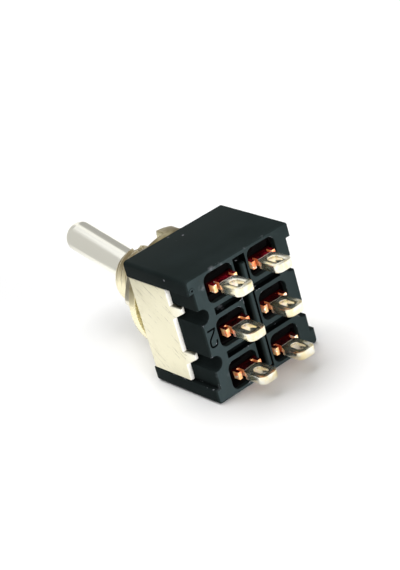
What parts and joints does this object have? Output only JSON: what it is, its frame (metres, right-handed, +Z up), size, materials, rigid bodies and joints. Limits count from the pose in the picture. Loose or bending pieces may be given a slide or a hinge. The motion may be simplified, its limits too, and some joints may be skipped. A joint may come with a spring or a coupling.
{
  "type": "miniature toggle switch",
  "caption": "Miniature two-position panel toggle switch: moulded base in a folded metal strap, threaded bushing with nuts, round metal lever and resin-sealed solder lugs.",
  "frame": {"origin": "bushing axis on the lever-side face of the strap's plate, which is the mounting plane", "axes": "-Y along the bushing towards the lever, +Y towards the solder lugs, +Z up along the lever's throw, +X across the two poles"},
  "size_m": [0.0126, 0.0326, 0.0132],
  "materials": {
    "housing": "satin black moulding",
    "strap": "satin nickel plate",
    "bushing": "thin nickel on brass",
    "lever": "plated, drawn bright",
    "pin": "plain",
    "spring": "drawn wire",
    "plunger": "natural nylon",
    "rocker": "silver-plated copper alloy",
    "contact": "silver",
    "terminal": "bright tinned brass",
    "seal": "glossy poured resin",
    "washer": "nickel plate",
    "ring": "nickel plate",
    "nut": "nickel plate"
  },
  "bodies": {
    "base": {"housing": "housing", "frame_strap": "strap", "bushing": "bushing", "lock_washer": "washer", "locating_ring": "ring", "inner_nut": "nut", "outer_nut": "nut", "terminal_right_upper": "terminal", "seal_right_upper": "seal", "contact_right_upper": "contact", "terminal_right_middle": "terminal", "seal_right_middle": "seal", "terminal_right_lower": "terminal", "seal_right_lower": "seal", "contact_right_lower": "contact", "terminal_left_upper": "terminal", "seal_left_upper": "seal", "contact_left_upper": "contact", "terminal_left_middle": "terminal", "seal_left_middle": "seal", "terminal_left_lower": "terminal", "seal_left_lower": "seal", "contact_left_lower": "contact"},
    "lever": {"lever": "lever", "pivot_pin": "pin", "lever_spring": "spring"},
    "plunger": {"plunger": "plunger"},
    "rocker_right": {"rocker_right": "rocker"},
    "rocker_left": {"rocker_left": "rocker"}
  },
  "joints": [
    {"name": "lever_throw", "type": "hinge", "parent": "base", "child": "lever", "pos_m": [0, -0.0072, 0], "axis": [1, 0, 0], "range_deg": [0, 25.17]},
    {"name": "plunger_slide", "type": "slide", "parent": "lever", "child": "plunger", "axis": [0, -0.976, 0.2179], "range_m": [0, 0.0005], "stiffness_N_per_m": 300, "springref_m": -0.001, "deforming": ["lever_spring"]},
    {"name": "rocker_right_tilt", "type": "hinge", "parent": "base", "child": "rocker_right", "pos_m": [0.0024, 0.0059, 0], "axis": [1, 0, 0], "range_deg": [-12, 0]},
    {"name": "rocker_left_tilt", "type": "hinge", "parent": "base", "child": "rocker_left", "pos_m": [-0.0024, 0.0059, 0], "axis": [1, 0, 0], "range_deg": [-12, 0]}
  ],
  "couplings": [
    {"joint": "rocker_right_tilt", "follows": "lever_throw", "ratio": -0.4764},
    {"joint": "rocker_left_tilt", "follows": "lever_throw", "ratio": -0.4764}
  ]
}
